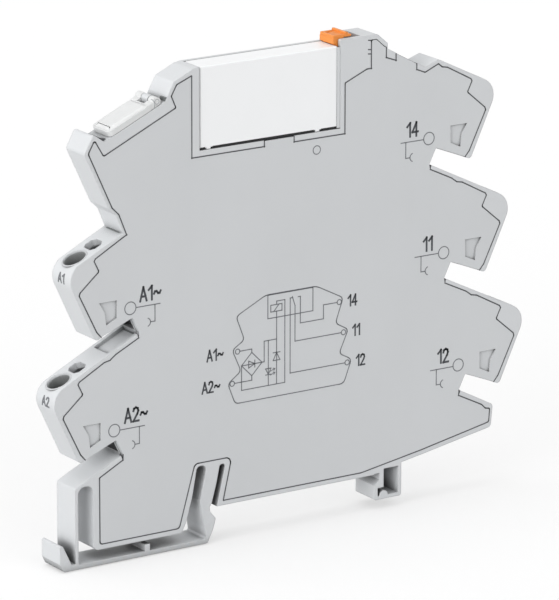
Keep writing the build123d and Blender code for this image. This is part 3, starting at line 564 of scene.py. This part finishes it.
arrowLook = {"run": (0.9, 0.35), "barbs": [(-0.35, 0.1), (-0.2, -0.35)], "thin": 0.8}


def diode(sheet, middle, direction, size, line):
    middle, along = Vector(middle), Vector(direction).normalized()
    across = Vector((-along.y, along.x))
    tip = middle + along * size
    low, high = middle - along * size - across * size, middle - along * size + across * size
    strokes(sheet, [tip, low, high], line, closed=True)
    stroke(sheet, tip - across * size, tip + across * size, line)


def lightArrow(sheet, start, line):
    start = Vector(start)
    end = start + Vector(arrowLook["run"])
    stroke(sheet, start, end, line)
    for barb in arrowLook["barbs"]:
        stroke(sheet, end, end + Vector(barb), line)


def drawDiagram(look):
    sheet = bmesh.new()
    line = look["line"]
    strokes(sheet, roundedLoop(look["outline"], look["corner"]), line, closed=True)
    for points in look["closed"]:
        strokes(sheet, points, line, closed=True)
    for points in look["open"]:
        strokes(sheet, points, line)
    for middle in look["terminals"]:
        ring(sheet, middle, look["terminal"], line)
    for middle, direction, size in look["diodes"]:
        diode(sheet, middle, direction, size, line)
    for start in look["light"]:
        lightArrow(sheet, start, line * arrowLook["thin"])
    standOn(sheet, "diagram_lines", onCover, lineInk)
    sheet = bmesh.new()
    for text, corner in look["numbers"].items():
        words(sheet, text, corner, look["height"], look["bold"])
    standOn(sheet, "diagram_numbers", onCover, numberInk)


drawDiagram(diagramPrint)
print("diagram done")

# Painted shade in the joint between the cover and the rim: a dark line, with the small latch marks beside
# it in the same dark
jointLook = {
    "width": 0.2,
    "shift": 0.05,  # outwards from the cover's edge
    "reach": 0.3,  # how far out the rim is looked for
    "deep": 0.1,  # a rim this far behind the cover's front still counts
    "bare": [(15.9, 19.0, 76.9, 80.0), (15.4, 15.9, 76.3, 76.9)],  # X and Z limits of stretches left out
    "latch": [
        [(15.1, 78.67), (15.65, 78.6)], [(15.1, 77.05), (15.65, 76.97)], [(15.1, 76.27), (15.65, 76.2)]],
    "pin": (4.5, 60.7), "pinRadius": 0.75, "pinLine": 0.16,
}


def coverEdges(source, front):
    flat = {face for face in source.faces if all(abs(vert.co.y - front) < 1e-6 for vert in face.verts)}
    for edge in source.edges:
        sides = [face for face in edge.link_faces if face in flat]
        if len(sides) == 1:
            yield edge, sides[0]


def drawJointShade(look):
    cover, housing = nodes["side_cover"], nodes["housing_shell"]
    source = bmesh.new()
    source.from_mesh(cover.data)
    rim = BVHTree.FromPolygons(
        [vert.co for vert in housing.data.vertices], [face.vertices for face in housing.data.polygons])
    front = coverFront * mm
    sheet = bmesh.new()
    for edge, face in coverEdges(source, front):
        start, end = [vert.co / mm for vert in edge.verts]
        run = end - start
        outward = Vector((run.z, 0, -run.x)).normalized()
        middle = (start + end) / 2
        if outward.dot(face.calc_center_median() / mm - middle) > 0:
            outward = -outward
        probe = (middle + outward * look["reach"]) * mm
        rayStart = Vector((probe.x, front - mm, probe.z))
        hit = rim.ray_cast(rayStart, Vector((0, 1, 0)), (1 + look["deep"]) * mm)[0]
        bare = any(x0 < middle.x < x1 and z0 < middle.z < z1 for x0, x1, z0, z1 in look["bare"])
        if hit is None or bare:
            continue
        start, end = start + outward * look["shift"], end + outward * look["shift"]
        stroke(sheet, (start.x, start.z), (end.x, end.z), look["width"])
    source.free()
    for points in look["latch"]:
        strokes(sheet, points, look["width"])
    standOn(sheet, "joint_shade_line", onCover, seamShadeInk)


def drawPinMark(look):
    sheet = bmesh.new()
    ring(sheet, look["pin"], look["pinRadius"], look["pinLine"])
    standOn(sheet, "pin_mark", onCover, lineInk)


drawJointShade(jointLook)
drawPinMark(jointLook)
print("joint lines done")

# Noses lean down and outwards from their inner top corners, each one a step below the last
noseLook = {"tilt": 26.2, "corner": (24.83, 75.9), "step": (12.35, 17.44)}
noses = {"14": (1, 0), "11": (1, 1), "12": (1, 2), "a1": (-1, 1), "a2": (-1, 2)}  # side and level


def noseTurn(side):
    return Matrix.Rotation(math.radians(side * noseLook["tilt"]), 4, "Y")


def nosePlace(side, level, along, depth):
    tilt = math.radians(noseLook["tilt"])
    along += level * noseLook["step"][0]
    depth += level * noseLook["step"][1]
    x = noseLook["corner"][0] + along * math.cos(tilt) - depth * math.sin(tilt)
    z = noseLook["corner"][1] - along * math.sin(tilt) - depth * math.cos(tilt)
    return Vector((side * x, 0, z))


# What was added since the last call is turned and moved to its nose, and mirrored on the left where asked
def placeOnNose(sheet, side, level, along, mirror=1):
    new = [vert for vert in sheet.verts if not vert.tag]
    place = Matrix.Translation(nosePlace(side, level, along, 0))
    flip = Matrix.Diagonal((mirror, 1, 1, 1))
    bmesh.ops.transform(sheet, verts=new, matrix=place @ noseTurn(side) @ flip)
    for vert in sheet.verts:
        vert.tag = True


# Funnels: a raised lip in each, and a darker sleeve inside that paints the shade deep in the funnel.
# Sections are radius and height in pairs
funnelLook = {
    "along": 15.8,
    "lip": [(2.07, -0.05), (2.43, -0.05), (2.33, 0.06), (2.15, 0.06)],
    "shadeSleeve": [(1.95, -5.0), (2.04, -5.0), (2.04, -0.25), (1.97, -0.3)],
    "sides": 48,
    # the sleeve's darker grey and its crevice darkening are painted shade
    "shadeGrey": {
        "colour": (150, 153, 153), "rough": 0.5, "grain": 0.14, "spread": 0.05, "flow": 3.0,
        "creviceShadeReach": 4.0, "deep": 0.1},
}


def funnelRound(sheet, side, level, section):
    corners = [sheet.verts.new((radius, 0, height)) for radius, height in section]
    face = sheet.faces.new(corners)
    bmesh.ops.spin(
        sheet, geom=[face, *face.edges, *corners], cent=(0, 0, 0), axis=(0, 0, 1),
        angle=math.tau, steps=funnelLook["sides"], use_merge=True, use_duplicate=False)
    placeOnNose(sheet, side, level, funnelLook["along"])


def drawFunnels(look):
    lips, shadeSleeves = bmesh.new(), bmesh.new()
    for side, level in noses.values():
        funnelRound(lips, side, level, look["lip"])
        funnelRound(shadeSleeves, side, level, look["shadeSleeve"])
    standOn(lips, "funnel_lips", Matrix.Identity(4), finishes["housing_grey"])
    funnelShadeGrey = plastic("funnelShadeGrey", look["shadeGrey"])
    standOn(shadeSleeves, "funnel_shade_sleeves", Matrix.Identity(4), funnelShadeGrey)


drawFunnels(funnelLook)

# Painted shade in the dark creases at the inner ends of the sunk shelves: place along the nose and height
# of each
creaseShadeLook = {
    "width": 0.32, "buried": 0.01, "thick": 0.05, "half": 2.1,
    "places": {"a1": (7.15, 0), "a2": (0.02, -0.6)},
}


def noseBox(sheet, side, level, low, high):
    softBox(sheet, low, high)
    placeOnNose(sheet, side, level, 0, side)


def drawCreaseShade(look):
    sheet = bmesh.new()
    for name, (along, height) in look["places"].items():
        low = (along, -look["half"], height - look["buried"])
        high = (along + look["width"], look["half"], height + look["thick"])
        noseBox(sheet, *noses[name], low, high)
    standOn(sheet, "shelf_crease_shade", Matrix.Identity(4), creaseShadeInk)


drawCreaseShade(creaseShadeLook)

# Painted shade: dark plates at the ends of the openings in the notch walls, where the holes lie deep in
# shade: how far along each one lies
jumperShadeLook = {
    "half": 1.76, "low": -17.08, "high": -14.78,
    "places": {"a1": (11.2, 11.7), "a2": (12.3, 12.38), "11": (11.2, 11.7), "14": (11.2, 11.7)},
}


def drawJumperShade(look):
    sheet = bmesh.new()
    for name, (near, far) in look["places"].items():
        noseBox(sheet, *noses[name], (near, -look["half"], look["low"]), (far, look["half"], look["high"]))
    standOn(sheet, "jumper_opening_shade", Matrix.Identity(4), deepDark)


drawJumperShade(jumperShadeLook)

# Small terminal names, wrapped on the round shoulders of the left noses
labelLook = {
    "texts": {"a1": "A1", "a2": "A2"}, "shoulder": (16.7, 3.3), "radius": 3.3, "lift": 4, "height": 1.6,
    "bold": 0.26, "start": 0.65,
}


def wrapOnShoulder(sheet, radius, lift):
    bmesh.ops.subdivide_edges(sheet, edges=sheet.edges, cuts=3, use_grid_fill=True)
    for vert in sheet.verts:
        angle = vert.co.y / radius + math.radians(lift)
        out = radius + 2 * inkLook["proud"] + vert.co.z
        vert.co = Vector((-out * math.cos(angle), -vert.co.x, out * math.sin(angle)))


def drawLabels(look):
    for name, label in look["texts"].items():
        sheet = bmesh.new()
        corner = (-look["height"] * look["start"], -look["height"] / 2)
        words(sheet, label, corner, look["height"], look["bold"], 1.0)
        wrapOnShoulder(sheet, look["radius"], look["lift"])
        middle = nosePlace(*noses[name], *look["shoulder"])
        standOn(sheet, "nose_label_" + name, Matrix.Translation(middle), lineInk)


drawLabels(labelLook)
print("nose details done")


# Black base of the relay, seen in the gap under its case, between the white stand-offs: the base's own
# black, deepened with painted shade of the narrow gap
relayLow, relayHigh = [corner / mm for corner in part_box("relay_case")]
baseLook = {
    "drop": 0.02, "high": 0.42, "front": -0.02, "deep": 0.4, "left": 0.15, "right": 0.1,
    "standoffs": (-17.4, 4.7), "half": 0.75,
}


def drawBaseLip(look):
    sheet = bmesh.new()
    bottom, top = relayLow.z + look["drop"], relayLow.z + look["high"]
    ends = [relayLow.x + look["left"]]
    for standoff in look["standoffs"]:
        ends += [standoff - look["half"], standoff + look["half"]]
    ends.append(relayHigh.x - look["right"])
    front = relayLow.y + look["front"]
    for left, right in zip(ends[::2], ends[1::2]):
        softBox(sheet, (left, front, bottom), (right, front + look["deep"], top))
    standOn(sheet, "relay_base_lip", Matrix.Identity(4), deepDark, "relay")


drawBaseLip(baseLook)

# Narrow grey wall beside the relay, in front of the lever's stem
bayLook = {"left": -0.24, "right": 9.3, "front": 0.01, "deep": 0.12, "bottom": 0.1, "top": 0.12}


def drawBayWall(look):
    sheet = bmesh.new()
    low = (relayHigh.x + look["left"], coverFront + look["front"], relayLow.z + look["bottom"])
    high = (look["right"], coverFront + look["deep"], relayHigh.z - look["top"])
    softBox(sheet, low, high)
    standOn(sheet, "bay_wall", Matrix.Identity(4), finishes["housing_grey"])


drawBayWall(bayLook)

# Raised frame on the lever's head
leverLook = {
    "left": 8.42, "right": 11.0, "half": 2.08, "top": 79.7, "rise": 0.45, "border": 0.6, "soft": 0.15,
    "floor": 0.06, "sunk": 0.1, "step": 0.03,
}


def drawLeverFrame(look):
    sheet = bmesh.new()
    low, high = look["top"] - look["sunk"], look["top"] + look["rise"]
    inside, left = look["half"] - look["step"], look["left"] + look["step"]  # no two faces in one plane
    inner = (left + look["border"], inside, high - look["step"])
    softBox(sheet, (left, -inside, low), inner, look["soft"])
    for side in (-1, 1):
        near, far = sorted((side * look["half"], side * (look["half"] - look["border"])))
        softBox(sheet, (look["left"], near, low), (look["right"], far, high), look["soft"])
    hollow = (look["right"], inside, look["top"] + look["floor"])
    softBox(sheet, (left, -inside, low + look["step"]), hollow)
    standOn(sheet, "lever_frame", Matrix.Identity(4), finishes["lever_orange"], "lever")


drawLeverFrame(leverLook)
print("relay and lever details done")

# Marker cover: a bowed milky plate with a rim, on two hinge ears. Along runs from the hinge to the latch
markerLook = {
    "hinge": (-27.7, 73.5), "slope": 24.23, "half": 2.88,
    "start": 1.5, "end": 10.4, "low": -0.77, "high": 0.2, "corner": 1.1, "cornerSteps": 6,
    "rim": 0.32, "sunk": 0.12, "sunkEdge": 0.1, "bow": 0.4, "bowEdge": 0.7,
    "ear": 0.74, "earSides": 32, "earDepth": 1.7, "earFrom": 0.2, "earOverlap": 0.1, "earTop": 0.3,
    "earSoft": 0.08,
    "hole": 0.42, "line": 0.14, "proud": 0.005,
    "arc": (-29.35, 73.0), "arcRadius": 1.2, "arcTurn": (-60, 125),
}


def markerPlate(sheet, look):
    half, steps = look["half"], look["cornerSteps"]
    outline = [(look["start"], -half), (look["end"], -half), (look["end"], half), (look["start"], half)]
    rounded = roundedLoop(outline, look["corner"], steps)[steps + 1:3 * (steps + 1)]  # only at the latch
    loop = [Vector(outline[0]), *rounded, Vector(outline[3])]
    bottom = sheet.faces.new([sheet.verts.new((point.x, point.y, look["low"])) for point in loop])
    raised = bmesh.ops.extrude_face_region(sheet, geom=[bottom])
    top = [item for item in raised["geom"] if isinstance(item, bmesh.types.BMVert)]
    bmesh.ops.translate(sheet, verts=top, vec=(0, 0, look["high"] - look["low"]))
    lid = [item for item in raised["geom"] if isinstance(item, bmesh.types.BMFace)][0]
    bmesh.ops.inset_individual(sheet, faces=[lid], thickness=look["rim"], depth=0)
    bmesh.ops.inset_individual(sheet, faces=[lid], thickness=look["sunkEdge"], depth=-look["sunk"])
    bmesh.ops.inset_individual(sheet, faces=[lid], thickness=look["bowEdge"], depth=look["bow"])


def markerEars(sheet, look):
    for side in (-1, 1):
        near, far = sorted((side * look["half"], side * (look["half"] - look["earDepth"])))
        bmesh.ops.create_cone(
            sheet, cap_ends=True, segments=look["earSides"], radius1=look["ear"], radius2=look["ear"],
            depth=look["earDepth"], matrix=Matrix.Translation((0, (near + far) / 2, 0)) @ upright)
        low = (look["earFrom"], near, look["low"])
        softBox(sheet, low, (look["start"] + look["earOverlap"], far, look["earTop"]), look["earSoft"])


def drawMarker(look):
    sheet = bmesh.new()
    markerPlate(sheet, look)
    markerEars(sheet, look)
    leftwards = Matrix.Rotation(math.radians(180), 4, "Z")
    lean = Matrix.Rotation(math.radians(-look["slope"]), 4, "Y")
    place = Matrix.Translation((look["hinge"][0], 0, look["hinge"][1]))
    matrix = place @ lean @ leftwards
    piece = standOn(sheet, "marker_lid", matrix, finishes["clear_plastic"], "marker")
    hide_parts("marker_cover")
    # Ring round the pin on the front ear, and the ear's edge
    sheet = bmesh.new()
    ring(sheet, look["hinge"], look["hole"], look["line"])
    ring(sheet, look["arc"], look["arcRadius"], look["line"], *look["arcTurn"])
    front = Matrix.Translation((0, -look["half"] - look["proud"], 0)) @ upright
    standOn(sheet, "marker_pin_ring", front, paleInk, "marker")


drawMarker(markerLook)

# Painted shade: dark boxes in the slots at both ends of the marker channel: two corners per box
slotShadeLook = {
    "hinge_slot_shade": [((-26.15, -2.88, 72.85), (-25.62, -1.3, 74.0))],
    "latch_slot_shade": [
        ((-38.15, -2.3, 68.05), (-37.45, -1.3, 68.3)), ((-38.2, -1.3, 67.9), (-37.92, 2.6, 68.3))],
}
slotShadeInks = {"hinge_slot_shade": creaseShadeInk, "latch_slot_shade": seamShadeInk}
for name, boxes in slotShadeLook.items():
    sheet = bmesh.new()
    for low, high in boxes:
        softBox(sheet, low, high)
    standOn(sheet, name, Matrix.Identity(4), slotShadeInks[name])
print("marker details done")


# Stage: pale floor, even light from all round and three broad lamps
stageLook = {
    "floor": 3.0,  # m
    "drop": 0.0002,  # floor lies this far under the lowest point
    "white": 0.5,  # share of the floor that shows as plain white
    "pale": 0.98,  # floor as the camera sees it
    "bounce": 0.6,  # floor as it lights the object
    "world": 0.7,
}


def makeStage(look):
    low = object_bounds()[0].z - look["drop"]
    sheet = bmesh.new()
    bmesh.ops.create_grid(sheet, x_segments=1, y_segments=1, size=look["floor"])
    bmesh.ops.translate(sheet, verts=sheet.verts, vec=(0, 0, low))
    mesh = bpy.data.meshes.new("studio_floor")
    sheet.to_mesh(mesh)
    sheet.free()
    floor = bpy.data.objects.new("studio_floor", mesh)
    scene.collection.objects.link(floor)
    material, tree, output = newMaterial("studioFloor")
    matt = tree.nodes.new("ShaderNodeBsdfDiffuse")
    tone = tree.nodes.new("ShaderNodeMix")
    tone.data_type = "RGBA"
    tone.inputs["A"].default_value = (look["bounce"], look["bounce"], look["bounce"], 1)
    tone.inputs["B"].default_value = (look["pale"], look["pale"], look["pale"], 1)
    tree.links.new(seenDirectly(tree, 1.0), tone.inputs["Factor"])
    tree.links.new(tone.outputs["Result"], matt.inputs["Color"])
    glow = tree.nodes.new("ShaderNodeEmission")
    glow.inputs["Strength"].default_value = 1.0
    mix = tree.nodes.new("ShaderNodeMixShader")
    tree.links.new(seenDirectly(tree, look["white"]), mix.inputs["Fac"])
    tree.links.new(matt.outputs["BSDF"], mix.inputs[1])
    tree.links.new(glow.outputs["Emission"], mix.inputs[2])
    tree.links.new(mix.outputs["Shader"], output.inputs["Surface"])
    mesh.materials.append(material)
    floor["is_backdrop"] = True


def seenDirectly(tree, share):
    path = tree.nodes.new("ShaderNodeLightPath")
    total = path.outputs["Is Camera Ray"]
    for kind in ("Is Glossy Ray", "Is Transmission Ray"):
        most = tree.nodes.new("ShaderNodeMath")
        most.operation = "MAXIMUM"
        tree.links.new(total, most.inputs[0])
        tree.links.new(path.outputs[kind], most.inputs[1])
        total = most.outputs["Value"]
    part = tree.nodes.new("ShaderNodeMath")
    part.operation = "MULTIPLY"
    part.inputs[1].default_value = share
    tree.links.new(total, part.inputs[0])
    return part.outputs["Value"]


def makeWorld(strength):
    world = bpy.data.worlds.new("studio")
    world.use_nodes = True
    scene.world = world
    tree = world.node_tree
    tree.nodes.clear()
    output = tree.nodes.new("ShaderNodeOutputWorld")
    air = tree.nodes.new("ShaderNodeBackground")
    air.inputs["Color"].default_value = (1, 1, 1, 1)
    air.inputs["Strength"].default_value = strength
    white = tree.nodes.new("ShaderNodeBackground")
    white.inputs["Color"].default_value = (1, 1, 1, 1)
    white.inputs["Strength"].default_value = 1.0
    mix = tree.nodes.new("ShaderNodeMixShader")
    tree.links.new(seenDirectly(tree, 1.0), mix.inputs["Fac"])
    tree.links.new(air.outputs["Background"], mix.inputs[1])
    tree.links.new(white.outputs["Background"], mix.inputs[2])
    tree.links.new(mix.outputs["Shader"], output.inputs["Surface"])


# Each lamp shines from its direction, as broad as its angle in degrees
lamps = {
    "keyLamp": {"from": (-0.95, -0.3, 0.1), "strength": 2.7, "angle": 50},
    "frontLamp": {"from": (0.18, -0.92, 0.34), "strength": 0.4, "angle": 60},
    "topLamp": {"from": (-0.25, 0.1, 1), "strength": 0.5, "angle": 40},
}


def makeLamp(name, look):
    data = bpy.data.lights.new(name, "SUN")
    data.energy = look["strength"]
    data.angle = math.radians(look["angle"])
    lamp = bpy.data.objects.new(name, data)
    scene.collection.objects.link(lamp)
    lamp.rotation_euler = Vector(look["from"]).to_track_quat("Z", "Y").to_euler()


makeStage(stageLook)
makeWorld(stageLook["world"])
for name, look in lamps.items():
    makeLamp(name, look)
print("stage and lamps done")
